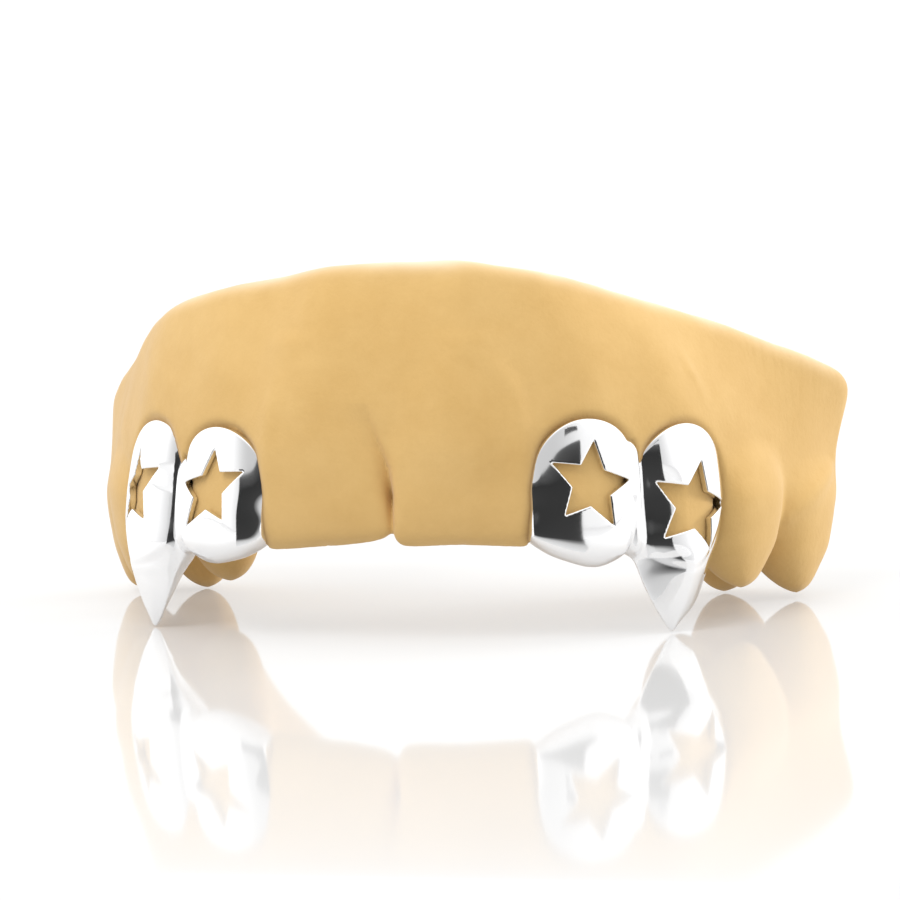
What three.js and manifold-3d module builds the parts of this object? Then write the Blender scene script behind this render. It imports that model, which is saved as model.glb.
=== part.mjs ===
// A pair of star-pierced fang grills seated on a dental cast. Millimetres, +Z up.
// The cast stands teeth down, on the two fang tips and the rear palatal cusps.
// +X runs across the arch to the viewer's right, -Y is the front of the arch. Right and left
// in the names below are those of someone looking at the front.
import * as THREE from 'three';
import { mergeVertices } from 'three/addons/utils/BufferGeometryUtils.js';
import Module from 'manifold-3d';

const wasm = await Module();
wasm.setup();

// Driving sizes
const WALL = 0.6; // silver wall of a cap
const FIT_GAP = 0.3; // air between a cap and the plaster
const BACK_TRIM = 19.8; // the rear of both arms, trimmed flat
const ORIGIN = { x: 0.6, y: 5.74 }; // middle of the footprint, measured from the arch's axis
const BASE_FRONT = { y: -4.8, z: 25.2 }; // front of the trimmed base
const BASE_FALL = 0.45; // how much the base falls for each millimetre to the rear
const BASE_TIP = 0.025; // how much it rises for each millimetre to the right
const RIM_CHAMFER = 1.2; // worn edge round the base
const RING_POINTS = 26; // points round a cap or tooth section
const LOBE_POINTS = 18; // points round a premolar cusp's section
const GUM_STATIONS = 45; // sections along the gum
const CURVE_STEPS = 14; // steps round the arched gum line of a cap
const WELD = 1e-5; // distance under which corners are one point
const BIG = 80; // reach of a cutting block
const GUM_LINE_REACH = { beside: 2, below: 12, outside: 4 }; // of the block under a cap's gum line

// Closing of a tooth or cavity at its lowest point
const TIP_ROWS = [
  { rise: 0.0, scale: 0.35 },
  { rise: 0.28, scale: 0.74 },
];
const TIP_HEIGHT = 0.5;

// Sections of the caps and teeth. height runs up the tooth from its reference point on the
// labial face, half is half the width along the arch, front and back lie outwards and inwards
// of the reference point, shift moves the section distally. mesial and distal are the powers
// that square the half towards the midline and the other half.
const LATERAL_CAP = {
  tooth: 'lateral',
  x: 12.95, y: -4.4, z: 10.2, facing: 34,
  core: -4.5,
  arch: { base: 0.3, rise: 4.2, half: 3.85 },
  rows: [
    { height: -5.15, half: 0.5, front: -1.3, back: -2.0, shift: 1.0, mesial: 2.4, distal: 2.4 },
    { height: -5.0, half: 0.95, front: -1.05, back: -2.2, shift: 0.95, mesial: 2.4, distal: 2.4 },
    { height: -4.65, half: 2.15, front: -0.65, back: -2.5, shift: 0.45, mesial: 2.4, distal: 2.6 },
    { height: -4.2, half: 2.85, front: -0.2, back: -2.8, shift: 0.3, mesial: 2.6, distal: 3.0 },
    { height: -3.5, half: 3.5, front: -0.03, back: -3.1, shift: -0.1, mesial: 3.0, distal: 3.4 },
    { height: -1.6, half: 3.8, front: 0.05, back: -4.0, shift: -0.2, mesial: 3.1, distal: 3.7 },
    { height: 0.3, half: 4.05, front: 0.05, back: -4.8, shift: -0.4, mesial: 3.0, distal: 3.7 },
    { height: 2.4, half: 4.0, front: 0.03, back: -5.5, shift: -0.4, mesial: 2.9, distal: 3.4 },
    { height: 4.0, half: 3.9, front: -0.05, back: -6.0, shift: -0.4, mesial: 2.7, distal: 3.0 },
    { height: 5.6, half: 3.8, front: -0.35, back: -6.3, shift: -0.4, mesial: 2.6, distal: 2.8 },
  ],
};
const CANINE_CAP = {
  tooth: 'canine',
  x: 18.85, y: 0.68, z: 8.3, facing: 53,
  core: -4.8,
  arch: { base: 1.4, rise: 4.1, half: 3.8 },
  rows: [
    { height: -8.18, half: 0.12, front: -1.65, back: -1.9, shift: -0.95, mesial: 1.8, distal: 1.8 },
    { height: -7.85, half: 0.4, front: -1.48, back: -2.05, shift: -0.92, mesial: 1.5, distal: 1.5 },
    { height: -6.6, half: 1.55, front: -0.82, back: -2.4, shift: -0.55, mesial: 1.3, distal: 1.3 },
    { height: -5.0, half: 2.45, front: -0.15, back: -2.95, shift: -0.2, mesial: 1.3, distal: 1.35 },
    { height: -4.0, half: 2.95, front: 0.12, back: -3.4, shift: -0.1, mesial: 1.35, distal: 1.5 },
    { height: -2.2, half: 3.5, front: 0.14, back: -4.6, shift: 0.0, mesial: 1.55, distal: 2.2 },
    { height: -0.8, half: 3.7, front: 0.08, back: -5.4, shift: 0.05, mesial: 1.65, distal: 2.9 },
    { height: 0.8, half: 3.8, front: 0.04, back: -6.0, shift: 0.1, mesial: 1.8, distal: 3.2 },
    { height: 3.0, half: 3.7, front: 0.02, back: -6.6, shift: 0.1, mesial: 2.3, distal: 3.1 },
    { height: 4.8, half: 3.55, front: -0.12, back: -6.9, shift: 0.1, mesial: 2.6, distal: 2.9 },
    { height: 6.8, half: 3.4, front: -0.6, back: -7.2, shift: 0.1, mesial: 2.6, distal: 2.8 },
  ],
};
// Solder between the two caps of a grill
const SOLDER = {
  facing: 44, lean: 6, slant: 0,
  rows: [
    { height: -4.0, half: 0.35, front: -0.8, back: -2.4, shift: 0, mesial: 2.4, distal: 2.4 },
    { height: -3.2, half: 0.6, front: -0.25, back: -3.0, shift: 0, mesial: 2.4, distal: 2.4 },
    { height: 0, half: 0.7, front: 0, back: -3.2, shift: 0, mesial: 2.4, distal: 2.4 },
    { height: 1.6, half: 0.6, front: -0.15, back: -3.0, shift: 0, mesial: 2.4, distal: 2.4 },
    { height: 2.4, half: 0.35, front: -0.7, back: -2.6, shift: 0, mesial: 2.4, distal: 2.4 },
  ],
};
const CENTRAL = {
  x: 4.4, y: -7.4, z: 10.75, facing: 10, lean: 1,
  rows: [
    { height: -4.0, half: 4.5, front: -0.75, back: -1.7, shift: 0.65, mesial: 3.2, distal: 3.0 },
    { height: -3.75, half: 4.85, front: -0.35, back: -2.2, shift: 0.65, mesial: 3.2, distal: 2.8 },
    { height: -3.0, half: 5.1, front: -0.05, back: -2.8, shift: 0.75, mesial: 3.2, distal: 2.5 },
    { height: -0.5, half: 5.3, front: 0.05, back: -4.2, shift: 0.85, mesial: 3.2, distal: 2.4 },
    { height: 2.5, half: 5.15, front: 0, back: -6.0, shift: 0.85, mesial: 3.0, distal: 2.4 },
    { height: 5.0, half: 4.8, front: -0.25, back: -7.0, shift: 0.8, mesial: 2.6, distal: 2.4 },
    { height: 8.0, half: 3.8, front: -0.9, back: -7.2, shift: 0.4, mesial: 2.4, distal: 2.4 },
  ],
};
// Premolar cusps, measured from each cusp tip up
const CUSP_ROWS = {
  buccal: [
    { height: 0.0, half: 0.4, front: 0.3, back: -0.35, shift: 0, mesial: 2.0, distal: 2.0 },
    { height: 0.5, half: 1.3, front: 0.75, back: -1.1, shift: 0, mesial: 2.1, distal: 2.1 },
    { height: 1.6, half: 2.4, front: 1.25, back: -2.3, shift: 0, mesial: 2.2, distal: 2.2 },
    { height: 3.4, half: 3.5, front: 1.8, back: -3.2, shift: 0, mesial: 2.4, distal: 2.4 },
    { height: 6.2, half: 3.85, front: 2.05, back: -3.6, shift: 0, mesial: 2.5, distal: 2.5 },
    { height: 8.4, half: 3.6, front: 1.3, back: -3.6, shift: 0, mesial: 2.4, distal: 2.4 },
    { height: 10.5, half: 2.9, front: -0.6, back: -3.6, shift: 0, mesial: 2.2, distal: 2.2 },
  ],
  palatal: [
    { height: 0.0, half: 0.45, front: 0.4, back: -0.35, shift: 0, mesial: 2.0, distal: 2.0 },
    { height: 0.5, half: 1.4, front: 1.2, back: -1.0, shift: 0, mesial: 2.1, distal: 2.1 },
    { height: 1.6, half: 2.4, front: 2.2, back: -1.7, shift: 0, mesial: 2.2, distal: 2.2 },
    { height: 3.6, half: 3.3, front: 3.2, back: -2.2, shift: 0, mesial: 2.3, distal: 2.3 },
    { height: 7.0, half: 3.6, front: 3.6, back: -2.5, shift: 0, mesial: 2.3, distal: 2.3 },
    { height: 10.0, half: 3.0, front: 3.6, back: -2.4, shift: 0, mesial: 2.2, distal: 2.2 },
  ],
};
// Cusp tips of the right arm, with left_in the distance that the left arm's stand in of them
const CUSPS = [
  { kind: 'buccal', x: 20.9, y: 7.8, z: 1.75, facing: 67, left_in: 0.6 },
  { kind: 'palatal', x: 16.2, y: 9.8, z: 1.6, facing: 67, left_in: 1.5 },
  { kind: 'buccal', x: 23.35, y: 15.4, z: 0.25, facing: 72, left_in: 0.9 },
  { kind: 'palatal', x: 18.1, y: 17.2, z: 0.0, facing: 72, left_in: 0 },
];

// Gum stations from the midline to the rear of an arm. x and y follow the neck line of the
// right arm and left_in is how far the left arm's stands in of it. rim and rim_left are the
// base's outer edge, inner_rim its inner edge and inner_low the palatal foot, inwards of x, y.
const GUM = [
  { x: 0, y: -7.4, facing: 0, left_in: 0, neck: 15.0, low: 10.0,
    rim: -2.2, rim_left: -2.2, inner_rim: -10.0, inner_low: -6.4 },
  { x: 4.5, y: -7.4, facing: 8, left_in: 0, neck: 15.6, low: 10.5,
    rim: -2.4, rim_left: -2.7, inner_rim: -10.4, inner_low: -6.6 },
  { x: 8.8, y: -5.7, facing: 22, left_in: 0, neck: 14.2, low: 9.5,
    rim: -2.5, rim_left: -3.2, inner_rim: -10.8, inner_low: -6.8 },
  { x: 12.5, y: -3.7, facing: 34, left_in: 0, neck: 14.4, low: 9.5,
    rim: -2.8, rim_left: -2.8, inner_rim: -11.5, inner_low: -7.2 },
  { x: 15.6, y: -1.3, facing: 44, left_in: 0, neck: 13.0, low: 8.5,
    rim: -3.2, rim_left: -2.0, inner_rim: -12.3, inner_low: -7.8 },
  { x: 18.1, y: 1.3, facing: 54, left_in: 0, neck: 13.6, low: 8.0,
    rim: -3.4, rim_left: -1.2, inner_rim: -13.0, inner_low: -8.2 },
  { x: 20.2, y: 4.4, facing: 63, left_in: 0.1, neck: 11.0, low: 6.5,
    rim: -3.0, rim_left: -1.3, inner_rim: -14.2, inner_low: -8.8 },
  { x: 21.9, y: 7.8, facing: 68, left_in: 0.2, neck: 10.0, low: 5.5,
    rim: -2.3, rim_left: -1.2, inner_rim: -15.5, inner_low: -9.0 },
  { x: 23.2, y: 11.6, facing: 71, left_in: 0.3, neck: 9.0, low: 4.5,
    rim: -1.2, rim_left: -0.8, inner_rim: -16.6, inner_low: -9.2 },
  { x: 24.5, y: 15.6, facing: 73, left_in: 0.4, neck: 9.0, low: 4.0,
    rim: 0.2, rim_left: -0.1, inner_rim: -17.5, inner_low: -9.4 },
  { x: 25.9, y: 21.5, facing: 75, left_in: 0.5, neck: 8.5, low: 3.5,
    rim: 1.2, rim_left: 0.4, inner_rim: -18.6, inner_low: -9.6 },
];

// How the outside of the gum meets the teeth, and how its two sides curve up to the base
const GUM_FOOT = { low: -0.9, middle: -0.15 };
const GUM_PARTS = [0, 0.25, 0.5, 0.75, 1];
const GUM_CURVE = { outer: 1.5, inner: 1.6 };
const TRIM_SPARE = 1; // height of the gum above the base, trimmed off

// What differs between the two sides. For each cap: the turn of its star, clockwise as seen from
// the front, the star's place along and up the tooth, its tip radius, its skew and the squeeze of
// its half away from the midline, how far the gum line is lowered and stands along, how far the
// cap is moved along, outwards and up, how much the half towards the midline grows, and the
// cap's lean and slant.
const SIDES = {
  right: {
    central_slant: 1.0,
    solder: { x: 15.8, y: -2.05, z: 9.5 },
    lateral: {
      turn: 9.7, along: 0.12, height: 0.23, radius: 2.9, skew: -0.15, squeeze: 1,
      lower: -0.1, arch_along: 0.1, moved: 0, out: 0, raised: 0, grow: 0, lean: 7, slant: 6,
    },
    canine: {
      turn: 16.4, along: 0.27, height: 0.0, radius: 3.1, skew: -0.05, squeeze: 1,
      lower: -0.05, arch_along: -0.1, moved: 0, out: 0, raised: 0, grow: 0.2, lean: 7, slant: 3,
    },
  },
  left: {
    central_slant: 3.5,
    solder: { x: 15.45, y: -2.35, z: 9.5 },
    lateral: {
      turn: -12.7, along: -0.38, height: -0.22, radius: 2.81, skew: -0.36, squeeze: 1,
      lower: 0.5, arch_along: -0.9, moved: -0.6, out: 0, raised: 0, grow: 0, lean: 7, slant: 0,
    },
    canine: {
      turn: -17, along: 0.9, height: 0.9, radius: 3.05, skew: -0.25, squeeze: 0.4,
      lower: -0.1, arch_along: -1.1, moved: 0, out: -0.15, raised: 0.1, grow: 0.25, lean: 8.7, slant: 0,
    },
  },
};
const GROW_RISE = 3; // from the tip up to where a cap has grown in full
const STAR_POINTS = 5;
const STAR_WAIST = 0.475; // inner radius of a star over its tip radius
const STAR_DEPTH = 2.4; // reach of a star's cutter to both sides of the labial face

const radians = THREE.MathUtils.degToRad;
const sideOf = (side) => (side > 0 ? SIDES.right : SIDES.left);

// Axes of a tooth on the +X side: along the arch, outwards and up the tooth
function toothAxes(form) {
  const facing = radians(form.facing);
  const along = new THREE.Vector3(Math.cos(facing), Math.sin(facing), 0);
  const outwards = new THREE.Vector3(Math.sin(facing), -Math.cos(facing), 0);
  const up = new THREE.Vector3(0, 0, 1);
  outwards.applyAxisAngle(along, -radians(form.lean));
  up.applyAxisAngle(along, -radians(form.lean));
  along.applyAxisAngle(outwards, -radians(form.slant));
  up.applyAxisAngle(outwards, -radians(form.slant));
  return { along, outwards, up };
}

function toothPoint(form, axes, along, outwards, height) {
  return new THREE.Vector3(form.x, form.y, form.z)
    .addScaledVector(axes.along, along)
    .addScaledVector(axes.outwards, outwards)
    .addScaledVector(axes.up, height);
}

// Solid from points and triangles, turned so that its faces point out
function solidFrom(points, triangles) {
  let volume = 0;
  for (const [a, b, c] of triangles) {
    volume += points[a].dot(new THREE.Vector3().crossVectors(points[b], points[c]));
  }
  const outward = volume > 0 ? triangles : triangles.map(([a, b, c]) => [a, c, b]);
  return new wasm.Manifold(new wasm.Mesh({
    numProp: 3,
    vertProperties: new Float32Array(points.flatMap((point) => point.toArray())),
    triVerts: new Uint32Array(outward.flat()),
  }));
}

// Closed solid lofted through rings of the same number of points
function loftRings(rings) {
  const count = rings[0].length;
  const points = rings.flat();
  const triangles = [];
  for (let ring = 0; ring + 1 < rings.length; ring += 1) {
    for (let step = 0; step < count; step += 1) {
      const next = (step + 1) % count;
      const [a, b] = [ring * count + step, ring * count + next];
      triangles.push([a, b, a + count], [b, b + count, a + count]);
    }
  }
  for (const [ring, flip] of [[0, true], [rings.length - 1, false]]) {
    const centre = new THREE.Vector3();
    rings[ring].forEach((point) => centre.addScaledVector(point, 1 / count));
    points.push(centre);
    for (let step = 0; step < count; step += 1) {
      const edge = [ring * count + step, ring * count + (step + 1) % count];
      triangles.push(flip ? [points.length - 1, edge[1], edge[0]] : [points.length - 1, ...edge]);
    }
  }
  return solidFrom(points, triangles);
}

// One superellipse section of a tooth
function toothRing(form, row, count, side) {
  const axes = toothAxes(form);
  const middle = (row.front + row.back) / 2;
  const depth = (row.front - row.back) / 2;
  const ring = [];
  for (let step = 0; step < count; step += 1) {
    const angle = (step / count) * 2 * Math.PI;
    const power = Math.cos(angle) < 0 ? row.mesial : row.distal;
    const rounded = (value) => Math.sign(value) * Math.abs(value) ** (2 / power);
    const along = row.shift + row.half * rounded(Math.cos(angle));
    const outwards = middle + depth * rounded(Math.sin(angle));
    const point = toothPoint(form, axes, along, outwards, row.height);
    point.x *= side;
    ring.push(point);
  }
  return ring;
}

function toothSolid(form, rows, count, side) {
  return loftRings(rows.map((row) => toothRing(form, row, count, side)));
}

// Rows of a form drawn in by an inset, or grown by a negative one
function insetRows(rows, inset) {
  return rows.map((row) => ({
    ...row,
    half: row.half - inset,
    front: row.front - inset,
    back: row.back + inset,
  }));
}

// Inset rows that close in a rounded tip at their lowest height
function tippedRows(rows, inset, lowest) {
  const kept = insetRows(rows.filter((row) => row.height > lowest + TIP_HEIGHT), inset);
  const first = kept[0];
  const middle = (first.front + first.back) / 2;
  const tip = TIP_ROWS.map(({ rise, scale }) => ({
    ...first,
    height: lowest + rise,
    half: first.half * scale,
    front: middle + (first.front - middle) * scale,
    back: middle + (first.back - middle) * scale,
  }));
  return [...tip, ...kept];
}

// Solid of a three.js geometry placed in a tooth's axes
function placedSolid(geometry, form, side) {
  const axes = toothAxes(form);
  geometry.deleteAttribute('normal');
  geometry.deleteAttribute('uv');
  const merged = mergeVertices(geometry, WELD);
  const position = merged.getAttribute('position');
  const points = [];
  for (let index = 0; index < position.count; index += 1) {
    const point = toothPoint(form, axes, position.getX(index), position.getZ(index), position.getY(index));
    point.x *= side;
    points.push(point);
  }
  const corners = Array.from(merged.index.array);
  const triangles = [];
  for (let index = 0; index < corners.length; index += 3) {
    triangles.push(corners.slice(index, index + 3));
  }
  return solidFrom(points, triangles);
}

// Extrusion of an outline drawn along the arch and up the tooth
function extrudedThrough(outline, form, from, to, side) {
  const geometry = new THREE.ExtrudeGeometry(outline, {
    depth: to - from, bevelEnabled: false, curveSegments: CURVE_STEPS,
  });
  geometry.translate(0, 0, from);
  return placedSolid(geometry, form, side);
}

// A cap as it stands on one side
function fittedCap(cap, side) {
  const own = sideOf(side)[cap.tooth];
  const lowest = cap.rows[0].height;
  const rows = cap.rows.map((row) => {
    const grow = own.grow * Math.min(1, (row.height - lowest) / GROW_RISE);
    return {
      ...row,
      height: row.height + own.raised,
      half: row.half + grow,
      front: row.front + own.out,
      back: row.back + own.out,
      shift: row.shift + own.moved - grow,
    };
  });
  return { ...cap, lean: own.lean, slant: own.slant, rows, own };
}

// Everything below the gum line of a fitted cap: a tall block with an arched top
function belowGumLine(fitted, spare, side) {
  const { base, rise, half } = fitted.arch;
  const { lower, arch_along: middle } = fitted.own;
  const reach = half + GUM_LINE_REACH.beside;
  const outline = new THREE.Shape();
  outline.moveTo(-reach, -GUM_LINE_REACH.below);
  outline.lineTo(reach, -GUM_LINE_REACH.below);
  outline.lineTo(reach, base + spare);
  outline.lineTo(middle + half + spare, base + spare);
  outline.absellipse(middle, base + spare, half + spare, rise - lower, 0, Math.PI, false);
  outline.lineTo(-reach, base + spare);
  outline.closePath();
  return extrudedThrough(outline, fitted, -GUM_LINE_REACH.below, GUM_LINE_REACH.outside, side);
}

function starCutter(cap, side) {
  const fitted = fittedCap(cap, side);
  const star = fitted.own;
  const corners = [];
  for (let corner = 0; corner < 2 * STAR_POINTS; corner += 1) {
    const radius = star.radius * (corner % 2 ? STAR_WAIST : 1);
    const angle = (corner / STAR_POINTS) * Math.PI + radians(star.turn * side);
    const up = radius * Math.cos(angle);
    const flat = radius * Math.sin(angle);
    const across = flat > 0 ? flat * star.squeeze : flat;
    corners.push(new THREE.Vector2(star.along + across + star.skew * up, star.height + up));
  }
  return extrudedThrough(new THREE.Shape(corners), fitted, -STAR_DEPTH, STAR_DEPTH, side);
}

// The outside of a cap up to its gum line, grown by a spare gap
function capOutside(cap, spare, side) {
  const fitted = fittedCap(cap, side);
  return toothSolid(fitted, insetRows(fitted.rows, -spare), RING_POINTS, side)
    .intersect(belowGumLine(fitted, spare, side));
}

function capCavity(cap, side) {
  const fitted = fittedCap(cap, side);
  return toothSolid(fitted, tippedRows(fitted.rows, WALL, cap.core - FIT_GAP), RING_POINTS, side);
}

function toothCore(cap, side) {
  const fitted = fittedCap(cap, side);
  return toothSolid(fitted, tippedRows(fitted.rows, WALL + FIT_GAP, cap.core), RING_POINTS, side);
}

function solderSolid(spare, side) {
  const form = { ...SOLDER, ...sideOf(side).solder };
  return toothSolid(form, insetRows(SOLDER.rows, -spare), LOBE_POINTS, side);
}

// A lateral cap and a fang cap soldered together, hollow and pierced by their stars
function grillSolid(side) {
  return capOutside(LATERAL_CAP, 0, side)
    .add(capOutside(CANINE_CAP, 0, side))
    .add(solderSolid(0, side))
    .subtract(capCavity(LATERAL_CAP, side))
    .subtract(capCavity(CANINE_CAP, side))
    .subtract(starCutter(LATERAL_CAP, side))
    .subtract(starCutter(CANINE_CAP, side));
}

function baseHeight(x, y) {
  return BASE_FRONT.z - BASE_FALL * (y - BASE_FRONT.y) + BASE_TIP * x;
}

// Smooth value of a gum column at a place along the right half of the arch
function gumColumn(name, place) {
  const last = GUM.length - 1;
  const index = Math.min(Math.floor(place), last - 1);
  const at = (row) => {
    if (row >= 0) {
      return GUM[Math.min(row, last)][name];
    }
    const mirrored = GUM[-row][name];
    return name === 'x' || name === 'facing' ? -mirrored : mirrored;
  };
  const [before, low, high, after] = [index - 1, index, index + 1, index + 2].map(at);
  const part = place - index;
  const slopeLow = (high - before) / 2;
  const slopeHigh = (after - low) / 2;
  const cube = 2 * low - 2 * high + slopeLow + slopeHigh;
  const square = -3 * low + 3 * high - 2 * slopeLow - slopeHigh;
  return ((cube * part + square) * part + slopeLow) * part + low;
}

// Closed gum section at a place along the arch: up the outside, over the base, down the palate
function gumSection(place, side) {
  const column = (name) => gumColumn(name, place);
  const facing = radians(column('facing'));
  const middle = column('x') - (side > 0 ? 0 : column('left_in'));
  const at = (outwards, height) => {
    const x = side * (middle + outwards * Math.sin(facing));
    const y = column('y') - outwards * Math.cos(facing);
    return new THREE.Vector3(x, y, height(baseHeight(x, y)));
  };
  const [neck, low] = [column('neck'), column('low')];
  const rim = column(side > 0 ? 'rim' : 'rim_left');
  const [innerRim, innerLow] = [column('inner_rim'), column('inner_low')];
  const ring = [at(GUM_FOOT.low, () => low), at(GUM_FOOT.middle, () => (low + neck) / 2)];
  for (const part of GUM_PARTS) {
    const outwards = rim * part ** GUM_CURVE.outer;
    ring.push(at(outwards, (base) => neck + (base - RIM_CHAMFER - neck) * part));
  }
  ring.push(at(rim - RIM_CHAMFER, (base) => base + TRIM_SPARE));
  ring.push(at(innerRim + RIM_CHAMFER, (base) => base + TRIM_SPARE));
  for (const part of GUM_PARTS.toReversed()) {
    const outwards = innerLow + (innerRim - innerLow) * part ** GUM_CURVE.inner;
    ring.push(at(outwards, (base) => low + (base - RIM_CHAMFER - low) * part));
  }
  return ring;
}

function gumSolid() {
  const rings = [];
  const half = (GUM_STATIONS - 1) / 2;
  for (let station = -half; station <= half; station += 1) {
    const place = (Math.abs(station) / half) * (GUM.length - 1);
    rings.push(gumSection(place, station < 0 ? -1 : 1));
  }
  return loftRings(rings);
}

// Blocks that trim the base and the rear of the arms flat
function trimBlocks() {
  const above = new THREE.BoxGeometry(2 * BIG, 2 * BIG, BIG);
  above.translate(0, 0, BIG / 2);
  const upright = new THREE.Vector3(0, 0, 1);
  const slope = new THREE.Vector3(-BASE_TIP, BASE_FALL, 1).normalize();
  above.applyQuaternion(new THREE.Quaternion().setFromUnitVectors(upright, slope));
  above.translate(0, BASE_FRONT.y, BASE_FRONT.z);
  const behind = new THREE.BoxGeometry(2 * BIG, BIG, 2 * BIG);
  behind.translate(0, BACK_TRIM + BIG / 2, 0);
  return [above, behind].map(boxSolid);
}

function boxSolid(geometry) {
  geometry.deleteAttribute('normal');
  geometry.deleteAttribute('uv');
  const merged = mergeVertices(geometry, WELD);
  return new wasm.Manifold(new wasm.Mesh({
    numProp: 3,
    vertProperties: new Float32Array(merged.getAttribute('position').array),
    triVerts: new Uint32Array(merged.index.array),
  }));
}

// Plaster gum and teeth, cut back round the caps, with a core tooth inside each cap
function castSolid() {
  let plaster = gumSolid();
  const sides = [1, -1];
  for (const side of sides) {
    const central = { ...CENTRAL, slant: sideOf(side).central_slant };
    plaster = plaster.add(toothSolid(central, CENTRAL.rows, RING_POINTS, side));
    for (const cusp of CUSPS) {
      const x = side > 0 ? cusp.x : cusp.x - cusp.left_in;
      const form = { ...cusp, x, lean: 0, slant: 0 };
      plaster = plaster.add(toothSolid(form, CUSP_ROWS[cusp.kind], LOBE_POINTS, side));
    }
  }
  for (const block of trimBlocks()) {
    plaster = plaster.subtract(block);
  }
  for (const side of sides) {
    plaster = plaster
      .subtract(capOutside(LATERAL_CAP, FIT_GAP, side))
      .subtract(capOutside(CANINE_CAP, FIT_GAP, side))
      .subtract(solderSolid(FIT_GAP, side))
      .add(toothCore(LATERAL_CAP, side))
      .add(toothCore(CANINE_CAP, side));
  }
  return plaster;
}

function meshOf(name, solid, material) {
  const { vertProperties, triVerts } = solid.getMesh();
  const geometry = new THREE.BufferGeometry();
  geometry.setAttribute('position', new THREE.BufferAttribute(new Float32Array(vertProperties), 3));
  geometry.setIndex(new THREE.BufferAttribute(new Uint32Array(triVerts), 1));
  geometry.computeVertexNormals();
  const mesh = new THREE.Mesh(geometry, material);
  mesh.name = name;
  return mesh;
}

const plaster = new THREE.MeshStandardMaterial({ color: 0xdcb878, roughness: 0.85, metalness: 0 });
const silver = new THREE.MeshStandardMaterial({ color: 0xe6e6e8, roughness: 0.08, metalness: 1 });

const part = new THREE.Group();
part.position.set(-ORIGIN.x, -ORIGIN.y, 0);
part.add(meshOf('dental_cast', castSolid(), plaster));
part.add(meshOf('fang_grill_right', grillSolid(1), silver));
part.add(meshOf('fang_grill_left', grillSolid(-1), silver));

export default part;
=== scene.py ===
import math

import bpy
import numpy as np
from mathutils import Matrix, Vector


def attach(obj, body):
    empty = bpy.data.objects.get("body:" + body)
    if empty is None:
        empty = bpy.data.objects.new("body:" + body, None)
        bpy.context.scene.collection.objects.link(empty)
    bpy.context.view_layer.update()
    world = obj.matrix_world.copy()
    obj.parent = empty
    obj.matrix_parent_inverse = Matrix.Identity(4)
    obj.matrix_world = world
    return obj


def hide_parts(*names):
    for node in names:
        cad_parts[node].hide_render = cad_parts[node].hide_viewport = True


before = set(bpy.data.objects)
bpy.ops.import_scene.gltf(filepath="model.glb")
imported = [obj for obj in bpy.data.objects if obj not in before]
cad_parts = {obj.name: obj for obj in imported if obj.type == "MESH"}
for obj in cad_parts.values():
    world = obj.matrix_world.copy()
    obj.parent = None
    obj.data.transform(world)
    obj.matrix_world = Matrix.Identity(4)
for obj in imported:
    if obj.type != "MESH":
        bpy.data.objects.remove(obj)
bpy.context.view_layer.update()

# Looks of the fang grills and their dental cast. The shapes are worked out in millimetres in the
# arch's own frame, from tables close to those of the solids, as smooth distance fields, and are
# meshed by a surface net.
MM = 0.001
ORIGIN = np.array((0.6, 5.74, 0.0))

# Driving sizes
CAP_WALL = 0.48
CAP_GAP = 0.04  # air between a cap and the plaster
CAP_BEDDING = 0.2  # how far the caps reach into the gum
BACK_TRIM = 19.8  # the rear of both arms, trimmed flat
BASE_FRONT = (-4.8, 25.55)  # y and height of the front of the trimmed base
BASE_FALL = 0.45  # how much the base falls for each millimetre to the rear
BASE_TIP = 0.03  # how much it rises for each millimetre to the right
BASE_DROOP = (14.0, 0.006)  # where the base begins to droop at its sides, and how fast
RIM_CHAMFER = 1.2
GUM_SAMPLES = 700  # along each arm
GUM_BLUR = 14  # samples
# The inner wall is smoothed behind the neck line: from this depth, in full this much deeper, cells
PALATE_BLUR = (4.0, 2.0, 6)
WAVES = ((0.07, 5.0), (0.03, 1.8))  # height and length of the waves of the plaster

# Sections up each tooth: height, half width, front, back, shift, and the powers of the
# superellipse in the half towards the midline and in the other half
LATERAL = {
    "tooth": "lateral", "place": (12.95, -4.4, 10.2), "facing": 34,
    "core": -4.5, "arch": (0.3, 4.2, 3.95),
    "rows": (
        (-5.15, 0.5, -1.3, -2.0, 1.0, 2.4, 2.4),
        (-5.0, 0.95, -1.05, -2.2, 0.95, 2.4, 2.4),
        (-4.65, 2.15, -0.65, -2.5, 0.45, 2.4, 2.6),
        (-4.2, 2.85, -0.2, -2.8, 0.3, 2.6, 3.0),
        (-3.5, 3.5, -0.03, -3.1, -0.1, 3.0, 3.4),
        (-1.6, 3.7, 0.05, -4.0, -0.1, 2.9, 3.7),
        (0.3, 3.92, 0.05, -4.8, -0.27, 2.8, 3.7),
        (2.4, 3.9, 0.03, -5.5, -0.3, 2.7, 3.4),
        (4.0, 3.85, -0.05, -6.0, -0.35, 2.6, 3.0),
        (5.6, 3.8, -0.35, -6.3, -0.4, 2.6, 2.8),
    ),
}
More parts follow.
